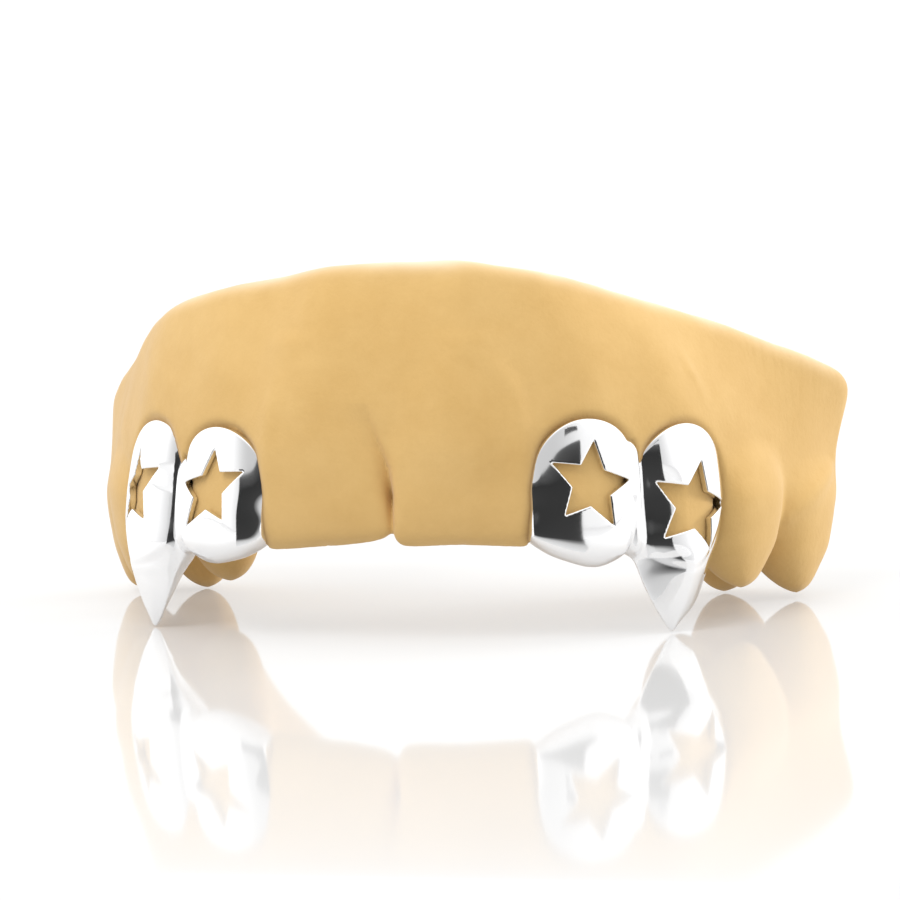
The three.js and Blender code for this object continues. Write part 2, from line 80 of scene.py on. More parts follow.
CANINE = {
    "tooth": "canine", "place": (18.85, 0.68, 8.3), "facing": 53,
    "core": -3.9, "arch": (1.4, 4.1, 3.8),
    "rows": (
        (-8.18, 0.12, -1.65, -1.9, -0.95, 1.8, 1.8),
        (-7.85, 0.4, -1.48, -2.05, -0.92, 1.5, 1.5),
        (-6.6, 1.55, -0.82, -2.55, -0.55, 1.3, 1.3),
        (-5.0, 2.42, -0.15, -3.3, -0.18, 1.3, 1.35),
        (-4.0, 2.84, 0.12, -3.8, -0.06, 1.4, 1.5),
        (-2.2, 3.5, 0.14, -4.65, 0.0, 1.7, 2.2),
        (-0.8, 3.7, 0.08, -5.4, 0.05, 1.7, 2.9),
        (0.8, 3.8, 0.04, -6.0, 0.1, 1.8, 3.2),
        (3.0, 3.7, 0.02, -6.6, 0.1, 2.3, 3.1),
        (4.8, 3.55, -0.12, -6.9, 0.1, 2.6, 2.9),
        (6.8, 3.4, -0.6, -7.2, 0.1, 2.6, 2.8),
    ),
}
# Lower border of a canine's raised front face: height at its ridge, rise towards the midline and
# away from it, proud by, width
SHIELD = (-3.85, 0.15, 0.36, 0.1, 0.7)
SOLDER = {
    "facing": 44, "lean": 6, "slant": 0,
    "rows": (
        (-4.0, 0.35, -0.9, -2.4, 0.0, 2.4, 2.4),
        (-3.2, 0.5, -0.4, -3.0, 0.0, 2.4, 2.4),
        (0.0, 0.55, -0.15, -3.2, 0.0, 2.4, 2.4),
        (2.5, 0.5, -0.25, -3.0, 0.0, 2.4, 2.4),
        (3.4, 0.35, -0.8, -2.6, 0.0, 2.4, 2.4),
    ),
}
SOLDER_PLACE = {1: (15.8, -2.05, 9.5), -1: (15.45, -2.35, 9.5)}
SOLDER_RAISED = {1: 0.3, -1: -1.1}  # the top of the seam on each side
CENTRAL = {
    "place": (4.4, -7.4, 10.57), "facing": 10, "lean": 1,
    "rows": (
        (-4.0, 4.5, -1.4, -2.2, 0.65, 3.2, 3.0),
        (-3.75, 4.85, -1.0, -2.6, 0.65, 3.2, 2.8),
        (-3.0, 5.1, -0.62, -3.0, 0.75, 3.2, 2.5),
        (-0.5, 5.3, -0.14, -4.2, 0.85, 3.2, 2.4),
        (2.5, 5.15, 0.05, -6.0, 0.85, 3.0, 2.4),
        (5.0, 4.8, -0.25, -7.0, 0.8, 2.6, 2.4),
        (8.0, 3.8, -0.9, -7.2, 0.4, 2.4, 2.4),
    ),
}
BUCCAL_ROWS = (
    (0.0, 0.4, 0.3, -0.35, 0.0, 2.0, 2.0),
    (0.5, 1.3, 0.75, -1.1, 0.0, 2.1, 2.1),
    (1.6, 2.4, 1.25, -2.3, 0.0, 2.2, 2.2),
    (3.4, 3.5, 1.8, -3.2, 0.0, 2.4, 2.4),
    (6.2, 3.85, 2.05, -3.6, 0.0, 2.5, 2.5),
    (8.4, 3.6, 1.3, -3.6, 0.0, 2.4, 2.4),
    (10.5, 2.9, -0.6, -3.6, 0.0, 2.2, 2.2),
)
PALATAL_ROWS = (
    (0.0, 0.45, 0.4, -0.35, 0.0, 2.0, 2.0),
    (0.5, 1.4, 1.2, -1.0, 0.0, 2.1, 2.1),
    (1.6, 2.4, 2.2, -1.7, 0.0, 2.2, 2.2),
    (3.6, 3.3, 3.2, -2.2, 0.0, 2.3, 2.3),
    (7.0, 3.6, 3.6, -2.5, 0.0, 2.3, 2.3),
    (10.0, 3.0, 3.6, -2.4, 0.0, 2.2, 2.2),
)
# Cusp tips of the right arm: x, y, z, facing, how far the left one stands in of it, sections
CUSPS = (
    (20.9, 7.8, 1.75, 67, 0.6, BUCCAL_ROWS),
    (16.2, 9.8, 1.6, 67, 1.5, PALATAL_ROWS),
    (23.35, 15.4, 0.25, 72, 0.9, BUCCAL_ROWS),
    (18.1, 17.2, 0.0, 72, 0.0, PALATAL_ROWS),
)
# Gum stations from the midline to the rear of an arm
GUM_COLUMNS = ("x", "y", "left_in", "neck", "low", "rim", "rim_left", "inner_rim", "inner_low")
GUM = (
    (0.0, -7.4, 0.0, 15.0, 10.0, -2.2, -2.2, -10.0, -6.4),
    (4.5, -7.4, 0.0, 15.6, 10.5, -2.4, -2.5, -10.4, -6.6),
    (8.8, -5.7, 0.0, 14.2, 9.5, -2.5, -2.7, -10.8, -6.8),
    (12.5, -3.7, 0.0, 14.4, 9.5, -2.8, -2.3, -11.5, -7.2),
    (15.6, -1.3, 0.0, 13.0, 8.5, -3.2, -1.8, -12.3, -7.8),
    (18.1, 1.3, 0.0, 13.6, 8.0, -3.4, -1.5, -13.0, -8.2),
    (20.2, 4.4, 0.0, 11.0, 6.5, -3.0, -1.7, -14.2, -8.8),
    (21.9, 7.8, 0.0, 10.0, 5.5, -2.3, -1.7, -15.5, -9.0),
    (23.3, 11.6, 0.1, 9.0, 4.5, -1.0, -1.3, -16.6, -9.2),
    (24.8, 15.6, 0.5, 9.0, 4.0, 0.4, -0.4, -17.5, -9.4),
    (26.3, 21.5, 0.7, 8.5, 3.5, 1.4, 0.2, -18.6, -9.6),
)
# Slant of each central incisor, and the groove that runs up between them: x, z, depth
CENTRAL_SLANT = {1: 1.2, -1: 5.8}
GROOVE = (
    (0.2, 6.0, 0.20),
    (0.2, 8.0, 0.40),
    (0.15, 9.9, 0.50),
    (-0.1, 11.84, 0.52),
    (-0.6, 13.3, 0.48),
    (-1.1, 14.8, 0.26),
    (-1.5, 16.2, 0.0),
)
GROOVE_WIDTHS = (1.2, 0.32)  # to the left and to the right of its line
GROOVE_BACK = -4.0
# Ridges along the edges of the incisors, over the gum and the necks of the premolars: width, then
# points and how proud the ridge is there
RIDGES = (
    (0.65, (
        (5.6, -6.4, 19.6, 0.0), (7.4, -5.9, 18.0, 0.1), (8.2, -5.7, 16.8, 0.2), (8.6, -5.9, 14.8, 0.24),
        (8.7, -6.0, 11.6, 0.24), (8.7, -5.7, 7.6, 0.2),
    )),
    (0.65, (
        (-7.4, -6.3, 18.4, 0.0), (-8.0, -6.3, 15.2, 0.16), (-8.25, -6.4, 11.5, 0.22), (-8.4, -5.9, 7.6, 0.2),
    )),
    (0.4, ((0.7, -7.2, 8.0, 0.06), (0.7, -7.3, 11.5, 0.1), (1.0, -7.5, 13.3, 0.0))),
    (0.55, ((17.3, 4.0, 18.9, 0.0), (18.3, 3.8, 16.9, 0.12), (19.5, 4.2, 14.2, 0.0))),
    (0.7, ((26.2, 18.0, 9.0, 0.3), (24.95, 14.1, 7.5, 0.3), (23.45, 11.8, 6.1, 0.2))),
)
# The cast falls away round each cap: depth and width
CREVICE = (0.2, 0.35)

# Caps by side and tooth. star: turn, place along and up, tip radius, skew, squeeze of the half
# away from the midline. gum_line: lowering, shift along. moved: along, outwards and up. grow: of
# the half towards the midline. tilt: lean, slant. fuller: powers of the half towards the midline.
# deeper: at the back of the fang
CAPS = {
    (1, "lateral"): {
        "star": (9.7, 0.12, 0.23, 2.9, -0.15, 1.0), "gum_line": (-0.1, 0.0),
        "moved": (0.0, 0.0, 0.0), "grow": 0.0,
        "tilt": (7, 6), "fuller": 0.0, "deeper": 0.0,
    },
    (1, "canine"): {
        "star": (16.4, 0.27, 0.0, 3.1, -0.05, 1.0), "gum_line": (-0.05, -0.1),
        "moved": (0.0, 0.0, 0.0), "grow": 0.2,
        "tilt": (7, 3), "fuller": -0.35, "deeper": 0.6,
    },
    (-1, "lateral"): {
        "star": (-12.7, -0.38, -0.22, 2.81, -0.36, 1.0), "gum_line": (0.5, -0.9),
        "moved": (-0.6, 0.0, 0.0), "grow": 0.0,
        "tilt": (7, 0), "fuller": 0.0, "deeper": 0.0,
    },
    (-1, "canine"): {
        "star": (-17.0, 0.9, 0.9, 3.05, -0.25, 0.4), "gum_line": (-0.27, -1.1),
        "moved": (0.0, -0.15, 0.1), "grow": 0.25,
        "tilt": (8.7, 0), "fuller": 0.0, "deeper": 0.0,
    },
}
GROW_RISE = 3.0  # from the tip up to where a cap has grown in full
FANG_MIDDLE = -4.4  # height where a fang is deeper, and how far that reaches up and down
FANG_REACH = 1.4
STAR_POINTS = 5
STAR_WAIST = 0.475
STAR_DEPTH = 1.6
# Waves left by polishing: height and length
POLISH = (0.022, 2.6)
# Painted shade on the plaster where it meets the caps: strength, reach, and how far in under them it goes on
CONTACT_SHADE = (0.75, 0.16, 0.25)
# Lighter rim of the base: partly worn plaster, partly a painted highlight on its top edge and on the base
# face
RIM_WEAR_AND_HIGHLIGHT_PATCHES = (0.95, 0.6, 3.0, 1.2)  # middle strength, swing, length, most
RIM_WEAR_AND_HIGHLIGHT_OVER_FRONT = (0.3, 0.55, 2.0, 15.0)  # least strength, more at the front, its middle and reach
RIM_WEAR_AND_HIGHLIGHT_ON_FACE = (1.2, 1.5, 0.4)  # where the patches end on the base face, their fade, strength past them
RIM_WEAR_AND_HIGHLIGHT_DEPTH = 0.85  # how far it reaches down the sides

# Meshing
GRILL_STEP = 0.1
CAST_STEP = 0.18
CAST_LIMIT = 190000
FAR = 6.0
TABLE_STEP = 0.02
TABLE_SPARE = 3.0


# Curves and blends

def smooth_curve(knots, values, places):
    """Monotone cubic through the knots, straight beyond both ends."""
    knots = np.asarray(knots, float)
    values = np.asarray(values, float)
    gaps = np.diff(knots)
    slopes = np.diff(values) / gaps
    tangents = np.zeros(len(knots))
    tangents[0] = slopes[0]
    tangents[-1] = slopes[-1]
    before, after = slopes[:-1], slopes[1:]
    same = before * after > 0
    weight_a = 2 * gaps[1:] + gaps[:-1]
    weight_b = gaps[1:] + 2 * gaps[:-1]
    safe_before = np.where(same, before, 1.0)
    safe_after = np.where(same, after, 1.0)
    mean = (weight_a + weight_b) / (weight_a / safe_before + weight_b / safe_after)
    tangents[1:-1] = np.where(same, mean, 0.0)
    index = np.clip(np.searchsorted(knots, places) - 1, 0, len(knots) - 2)
    gap = gaps[index]
    t = (places - knots[index]) / gap
    inside = (
        values[index] * (1 + 2 * t) * (1 - t) ** 2
        + tangents[index] * gap * t * (1 - t) ** 2
        + values[index + 1] * t ** 2 * (3 - 2 * t)
        + tangents[index + 1] * gap * t ** 2 * (t - 1)
    )
    under = values[0] + tangents[0] * (places - knots[0])
    over = values[-1] + tangents[-1] * (places - knots[-1])
    return np.where(places < knots[0], under, np.where(places > knots[-1], over, inside))


def blurred(values, sigma):
    """Gaussian blur of evenly spaced values, with straight ends."""
    reach = int(3 * sigma)
    kernel = np.exp(-0.5 * (np.arange(-reach, reach + 1) / sigma) ** 2)
    kernel /= kernel.sum()
    ramp = np.arange(1, reach + 1)
    before = values[0] - ramp[::-1] * (values[1] - values[0])
    after = values[-1] + ramp * (values[-1] - values[-2])
    return np.convolve(np.concatenate((before, values, after)), kernel, mode="valid")


def smooth_max(a, b, width):
    overlap = np.maximum(width - np.abs(a - b), 0.0) / width
    return np.maximum(a, b) + overlap * overlap * width * 0.25


def smooth_min(a, b, width):
    return -smooth_max(-a, -b, width)


def outline_distance(x, y, corners):
    """Distance from a closed outline, negative inside it."""
    nearest = np.full(len(x), 1e9)
    inside = np.zeros(len(x), bool)
    for (ax, ay), (bx, by) in zip(corners, (*corners[1:], corners[0])):
        ex, ey = bx - ax, by - ay
        t = np.clip(((x - ax) * ex + (y - ay) * ey) / (ex * ex + ey * ey), 0, 1)
        nearest = np.minimum(nearest, (x - ax - t * ex) ** 2 + (y - ay - t * ey) ** 2)
        crosses = (ay > y) != (by > y)
        rise = by - ay if abs(by - ay) > 1e-9 else 1e-9
        inside ^= crosses & (x < ax + (y - ay) * ex / rise)
    return np.sqrt(nearest) * np.where(inside, -1.0, 1.0)


def eased(share):
    """Smooth step of a share from 0 to 1."""
    share = np.clip(share, 0.0, 1.0)
    return share * share * (3 - 2 * share)


NOISE_SIZE = 32
noise_lattice = np.random.default_rng(11).uniform(-1, 1, (NOISE_SIZE,) * 3)


def noise(points, wavelength):
    """Smooth noise from a fixed lattice, about -0.6 to 0.6."""
    scaled = points / wavelength + 100.0
    cell = np.floor(scaled).astype(int)
    part = scaled - cell
    part = part * part * part * (part * (part * 6 - 15) + 10)
    total = np.zeros(len(points))
    for corner in range(8):
        offset = np.array((corner & 1, corner >> 1 & 1, corner >> 2 & 1))
        weight = np.prod(np.where(offset, part, 1 - part), axis=1)
        at = (cell + offset) % NOISE_SIZE
        total += weight * noise_lattice[at[:, 0], at[:, 1], at[:, 2]]
    return total


# Teeth

def turned(vector, axis, degrees):
    """Vector turned about a unit axis."""
    angle = math.radians(degrees)
    return (
        vector * math.cos(angle) + np.cross(axis, vector) * math.sin(angle)
        + axis * (axis @ vector) * (1 - math.cos(angle))
    )


def tooth_axes(form):
    """Axes of a tooth on the +X side: along the arch, outwards and up."""
    facing = math.radians(form["facing"])
    along = np.array((math.cos(facing), math.sin(facing), 0.0))
    outwards = np.array((math.sin(facing), -math.cos(facing), 0.0))
    up = np.array((0.0, 0.0, 1.0))
    outwards = turned(outwards, along, -form["lean"])
    up = turned(up, along, -form["lean"])
    along = turned(along, outwards, -form["slant"])
    up = turned(up, outwards, -form["slant"])
    return np.array((along, outwards, up))


class Tooth:
    """A tooth's smooth sections, and the box outside which its field is only far."""

    def __init__(self, form, side, blur=0.25):
        rows = np.array(form["rows"])
        if "tooth" in form:
            cap = CAPS[(side, form["tooth"])]
            along, outwards, raised = cap["moved"]
            grow = cap["grow"] * np.minimum(1.0, (rows[:, 0] - rows[0, 0]) / GROW_RISE)
            rows = rows + np.array((raised, 0, outwards, outwards, along, 0, 0))
            rows[:, 1] += grow
            rows[:, 4] -= grow
            rows[:, 5] += cap["fuller"]
            rows[:, 3] -= cap["deeper"] * np.exp(-((rows[:, 0] - FANG_MIDDLE) / FANG_REACH) ** 2)
            lean, slant = cap["tilt"]
            form = dict(form, lean=lean, slant=slant, cap=cap)
        self.form = form
        self.side = side
        self.axes = tooth_axes(form)
        heights = rows[:, 0]
        self.lowest = heights[0]
        self.highest = heights[-1] + TABLE_SPARE / 2
        self.start = heights[0] - TABLE_SPARE
        fine = np.arange(self.start, heights[-1] + TABLE_SPARE, TABLE_STEP)
        self.fine = fine
        self.columns = [
            blurred(smooth_curve(heights, rows[:, column], fine), blur / TABLE_STEP)
            for column in range(1, rows.shape[1])
        ]

    def local(self, points):
        moved = points * np.array((self.side, 1.0, 1.0)) - np.array(self.form["place"])
        return (moved @ self.axes.T).T

    def sides(self, along, outwards, height, inset):
        """Distance from the sections, along the ray from each section's middle."""
        half, front, back, shift, mesial, distal = (
            np.interp(height, self.fine, column) for column in self.columns
        )
        middle = (front + back) / 2
        half = np.maximum(half - inset, 0.03)
        depth = np.maximum((front - back) / 2 - inset, 0.03)
        across = np.abs(along - shift)
        through = np.abs(outwards - middle)
        power = np.maximum(np.where(along < shift, mesial, distal), 1.2)
        ratio = ((across / half) ** power + (through / depth) ** power + 1e-12) ** (1 / power)
        return np.hypot(across, through) * (1 - 1 / ratio)

    def field(self, points, inset=0.0, lowest=None, rounding=0.5, reach=2.2):
        """Distance field of the tooth drawn in by an inset, closed at its lowest height."""
        bottom = self.lowest if lowest is None else lowest
        along, outwards, height = self.local(points)
        width = self.columns[0].max() + reach
        inner = self.columns[2].min() - reach
        outer = self.columns[1].max() + reach
        near = (np.abs(along) < width + 1) & (outwards > inner) & (outwards < outer)
        near &= (height > bottom - reach) & (height < self.fine[-1])
        result = np.full(len(points), FAR)
        sides = self.sides(along[near], outwards[near], height[near], inset)
        closed = smooth_max(sides, bottom - height[near], rounding)
        result[near] = smooth_max(closed, height[near] - self.highest, rounding)
        return result


def gum_line_field(tooth, points, spare):
    """Below a cap's arched gum line is negative."""
    along, _, height = tooth.local(points)
    base, rise, half = tooth.form["arch"]
    lower, arch_along = tooth.form["cap"]["gum_line"]
    along = along - arch_along
    rise = rise - lower
    half = half + spare
    up = height - base - spare
    level = np.sqrt((along / half) ** 2 + (up / rise) ** 2 + 1e-9)
    slope = np.sqrt((along / half ** 2) ** 2 + (up / rise ** 2) ** 2 + 1e-9)
    ellipse = (level - 1) * level / slope
    return smooth_min(ellipse, up, 0.5)


def star_field(tooth, points):
    """Inside a cap's star is negative: the distance from a star drawn along and up the tooth."""
    turn, star_along, star_height, radius, skew, squeeze = tooth.form["cap"]["star"]
    along, outwards, height = tooth.local(points)
    result = np.full(len(points), FAR)
    near = np.hypot(along - star_along, height - star_height) < radius + 1.5
    near &= outwards > -STAR_DEPTH - 1.0
    y = height[near] - star_height
    x = along[near] - star_along - skew * y
    x = np.where(x > 0, x / squeeze, x)
    corners = []
    for corner in range(2 * STAR_POINTS):
        angle = corner / STAR_POINTS * math.pi + math.radians(turn * tooth.side)
        size = radius * (STAR_WAIST if corner % 2 else 1.0)
        corners.append((size * math.sin(angle), size * math.cos(angle)))
    result[near] = np.maximum(outline_distance(x, y, corners), -STAR_DEPTH - outwards[near])
    return result


# Grills

def shield_depth(tooth, points):
    """How far the front face of a canine stands proud of its fang."""
    along, outwards, height = tooth.local(points)
    lowest, rise_in, rise_out, proud, width = SHIELD
    away = along - np.interp(height, tooth.fine, tooth.columns[3])
    border = lowest + np.where(away < 0, rise_in, rise_out) * away ** 2
    forward = np.clip(outwards + 2.0, 0.0, 1.0)
    return proud * forward * eased((height - border) / width + 0.5)


def cap_outside(tooth, points, spare=0.0, edge=0.2):
    body = tooth.field(points, inset=-spare, rounding=0.3)
    if tooth.form["tooth"] == "canine":
        body = body - shield_depth(tooth, points)
    return smooth_max(body, gum_line_field(tooth, points, spare), edge)


def solder_form(side):
    rows = [(row[0] + SOLDER_RAISED[side] * (row[0] > 1), *row[1:]) for row in SOLDER["rows"]]
    return dict(SOLDER, place=SOLDER_PLACE[side], rows=rows)


def grill_field(side):
    lateral = Tooth(LATERAL, side)
    canine = Tooth(CANINE, side, 0.15)
    solder = Tooth(solder_form(side), side)

    def field(points):
        caps = smooth_min(cap_outside(lateral, points), cap_outside(canine, points), 0.6)
        result = smooth_min(caps, solder.field(points), 0.8)
        result = result + POLISH[0] * noise(points, POLISH[1])
        for tooth in (lateral, canine):
            lowest = tooth.form["core"] - CAP_GAP
            cavity = tooth.field(points, CAP_WALL, lowest, 0.8)
            result = smooth_max(result, -cavity, 0.16)
            result = smooth_max(result, -star_field(tooth, points), 0.14)
        return result

    return field


# Cast

def guide_line():
    """Gum columns sampled along the whole arch, from the left rear to the right rear."""
    table = np.array(GUM)
    places = np.arange(len(GUM))
    fine = np.linspace(0, len(GUM) - 1, GUM_SAMPLES)
    mirrored = np.concatenate((-places[:0:-1], places))
    columns = {}
    for number, name in enumerate(GUM_COLUMNS):
        values = table[:, number]
        sign = -1.0 if name == "x" else 1.0
        columns[name] = smooth_curve(mirrored, np.concatenate((sign * values[:0:-1], values)), fine)
    guide = {}
    for name in ("y", "neck", "low", "inner_rim", "inner_low"):
        guide[name] = np.concatenate((columns[name][::-1], columns[name]))
    guide["x"] = np.concatenate((-(columns["x"] - columns["left_in"])[::-1], columns["x"]))
    guide["rim"] = np.concatenate((columns["rim_left"][::-1], columns["rim"]))
    return {name: blurred(values, GUM_BLUR) for name, values in guide.items()}


def base_height(points):
    """Height of the trimmed base above each point, worn lower at its corners."""
    x, y, _ = points.T
    worn = BASE_DROOP[1] * np.maximum(np.abs(x) - BASE_DROOP[0], 0.0) ** 2
    return BASE_FRONT[1] - BASE_FALL * (y - BASE_FRONT[0]) + BASE_TIP * x - worn


class Gum:
    """Gum and base, as limits outwards of the neck line that change along the arch."""

    CELL = 0.2

    def __init__(self):
        guide = guide_line()
        self.low = np.array((-30.0, -14.0))
        self.size = np.array((301, 180))
        xs = self.low[0] + self.CELL * np.arange(self.size[0])
        ys = self.low[1] + self.CELL * np.arange(self.size[1])
        grid_x, grid_y = np.meshgrid(xs, ys, indexing="ij")
        flat = np.stack((grid_x.ravel(), grid_y.ravel()), axis=1)
        line = np.stack((guide["x"], guide["y"]), axis=1)
        tangent = np.gradient(line, axis=0)
        tangent /= np.linalg.norm(tangent, axis=1)[:, None]
        nearest = np.zeros(len(flat), int)
        for start in range(0, len(flat), 6000):
            part = flat[start:start + 6000]
            gaps = ((part[:, None, :] - line[None, :, :]) ** 2).sum(axis=2)
            nearest[start:start + 6000] = gaps.argmin(axis=1)
        away = flat - line[nearest]
        turn = tangent[nearest]
        outwards = away[:, 0] * turn[:, 1] - away[:, 1] * turn[:, 0]
        self.maps = {"outwards": outwards.reshape(self.size)}
        for name in ("neck", "low", "rim", "inner_rim", "inner_low"):
            self.maps[name] = guide[name][nearest].reshape(self.size)
        start, full, cells = PALATE_BLUR
        deep = eased((-self.maps["outwards"] - start) / full)
        for name, grid in self.maps.items():
            soft = np.apply_along_axis(blurred, 0, grid, cells)
            soft = np.apply_along_axis(blurred, 1, soft, cells)
            self.maps[name] = grid + deep * (soft - grid)

    def look_up(self, points):
        place = (points[:, :2] - self.low) / self.CELL
        cell = np.clip(np.floor(place).astype(int), 0, self.size - 2)
        part = np.clip(place - cell, 0.0, 1.0)
        x, y = cell.T
        u, v = part.T
        result = {}
        for name, grid in self.maps.items():
            result[name] = (
                grid[x, y] * (1 - u) * (1 - v) + grid[x + 1, y] * u * (1 - v)
                + grid[x, y + 1] * (1 - u) * v + grid[x + 1, y + 1] * u * v
            )
        return result

    def field(self, points):
        at = self.look_up(points)
        _, y, z = points.T
        base = base_height(points)
        rise = np.maximum(base - RIM_CHAMFER - at["neck"], 1.0)
        part = np.clip((z - at["neck"]) / rise, 0.0, 1.4)
        below = np.clip((at["neck"] - z) / (at["neck"] - at["low"]), 0.0, 1.5)
        limit = at["rim"] * part ** 1.5 - 0.9 * below ** 2.5
        inner_rise = np.maximum(base - RIM_CHAMFER - at["low"], 1.0)
        inner_part = np.clip((z - at["low"]) / inner_rise, 0.0, 1.3)
        inner_limit = at["inner_low"] + (at["inner_rim"] - at["inner_low"]) * inner_part ** 1.6
        slope = 1 / math.sqrt(1 + BASE_FALL ** 2 + BASE_TIP ** 2)
        outer = (at["outwards"] - limit) * 0.93
        inner = (inner_limit - at["outwards"]) * 0.9
        trimmed = smooth_max((z - base) * slope, y - BACK_TRIM, 2.0)
        result = smooth_max(outer, trimmed, 1.4)
        result = smooth_max(result, inner, 1.4)
        return smooth_max(result, at["low"] - z, 1.2)


def groove_depth(points):
    """How far the groove between the central incisors is cut in."""
    x, y, z = points.T
    result = np.zeros(len(points))
    near = (np.abs(x) < 4) & (y < GROOVE_BACK) & (z < GROOVE[-1][1] + 1)
    heights = [row[1] for row in GROOVE]
    line = np.interp(z[near], heights, [row[0] for row in GROOVE])
    depth = np.interp(z[near], heights, [row[2] for row in GROOVE])
    across = x[near] - line
    width = np.where(across < 0, *GROOVE_WIDTHS)
    result[near] = depth * np.exp(-np.abs(across / width) ** 1.4)
    return result


def relief_height(points):
    """How far the ridges stand proud."""
    result = np.zeros(len(points))
    for width, line in RIDGES:
        places = np.array(line)[:, :3]
        proud = np.array(line)[:, 3]
        reach = 3 * width
        near = ((points > places.min(axis=0) - reach) & (points < places.max(axis=0) + reach)).all(axis=1)
        part = points[near]
        nearest = np.full(len(part), 1e9)
        height = np.zeros(len(part))
        for first in range(len(line) - 1):
            edge = places[first + 1] - places[first]
            share = np.clip((part - places[first]) @ edge / (edge @ edge), 0, 1)
            away = ((part - places[first] - share[:, None] * edge) ** 2).sum(axis=1)
            closer = away < nearest
            nearest[closer] = away[closer]
            height[closer] = (proud[first] + share * (proud[first + 1] - proud[first]))[closer]
        result[near] += height * np.exp(-nearest / width ** 2)
    return result


def cast_field():
    gum = Gum()
    teeth = []
    caps = []
    for side in (1, -1):
        central = dict(CENTRAL, slant=CENTRAL_SLANT[side])
        teeth.append((Tooth(central, side, 0.4), 0.7))
        for x, y, z, facing, left_in, rows in CUSPS:
            place = (x if side > 0 else x - left_in, y, z)
            form = {"place": place, "facing": facing, "lean": 0, "slant": 0, "rows": rows}
            teeth.append((Tooth(form, side, 0.35), 0.7))
        caps.append([Tooth(LATERAL, side), Tooth(CANINE, side, 0.15), Tooth(solder_form(side), side)])

    def envelope(points, spare=0.0):
        """Distance from the outsides of the caps, grown by a spare."""
        result = np.full(len(points), FAR)
        for lateral, canine, solder in caps:
            for tooth in (lateral, canine):
                result = np.minimum(result, cap_outside(tooth, points, spare))
            result = np.minimum(result, solder.field(points, -spare))
        return result

    def field(points):
        crowns = np.full(len(points), FAR)
        for tooth, rounding in teeth:
            crowns = smooth_min(crowns, tooth.field(points, rounding=rounding), 0.4)
        result = smooth_min(gum.field(points), crowns, 1.1)
        for height, length in WAVES:
            result = result + height * noise(points, length)
        result = result + groove_depth(points) - relief_height(points)
        result = smooth_max(result, points[:, 1] - BACK_TRIM, 0.5)
        away = envelope(points, -CAP_BEDDING)
        result = result + CREVICE[0] * np.exp(-(np.maximum(away - CAP_BEDDING, 0.0) / CREVICE[1]) ** 2)
        result = np.maximum(result, -away)
        for lateral, canine, _ in caps:
            for tooth in (lateral, canine):
                core = tooth.field(points, CAP_WALL + CAP_GAP, tooth.form["core"], 0.8)
                result = np.minimum(result, core)
        return result

    return field, envelope, gum


# Meshing

CORNERS = np.array([(c & 1, c >> 1 & 1, c >> 2 & 1) for c in range(8)])
BLOCK = 4  # cells along a block that is sampled finely or not at all
NEAR_SHARE = 2.1  # reach of the fine blocks round the surface, in block sizes
CHUNK = 400000


def sample_grid(field, low, high, step):
    """Field on a grid, worked out finely only in the blocks near its zero surface."""
    blocks = np.ceil((high - low) / (step * BLOCK)).astype(int)
    nodes = np.stack(np.meshgrid(*(np.arange(n + 1) for n in blocks), indexing="ij"), axis=-1)
    coarse = field(low + nodes.reshape(-1, 3) * step * BLOCK).reshape(blocks + 1)
    nearest = np.full(blocks, FAR)
    for x, y, z in CORNERS:
        corner = coarse[x:x + blocks[0], y:y + blocks[1], z:z + blocks[2]]
        nearest = np.minimum(nearest, np.abs(corner))
    active = nearest < step * BLOCK * NEAR_SHARE
    counts = blocks * BLOCK + 1
    values = coarse[:-1, :-1, :-1].repeat(BLOCK, 0).repeat(BLOCK, 1).repeat(BLOCK, 2)
    values = np.pad(values, ((0, 1), (0, 1), (0, 1)), mode="edge")
    fine = active.repeat(BLOCK, 0).repeat(BLOCK, 1).repeat(BLOCK, 2)
    wanted = np.zeros(counts, bool)
    for x, y, z in CORNERS:
        wanted[x:x + counts[0] - 1, y:y + counts[1] - 1, z:z + counts[2] - 1] |= fine
    chosen = np.argwhere(wanted)
    for start in range(0, len(chosen), CHUNK):
        part = chosen[start:start + CHUNK]
        values[tuple(part.T)] = field(low + part * step)
    return values


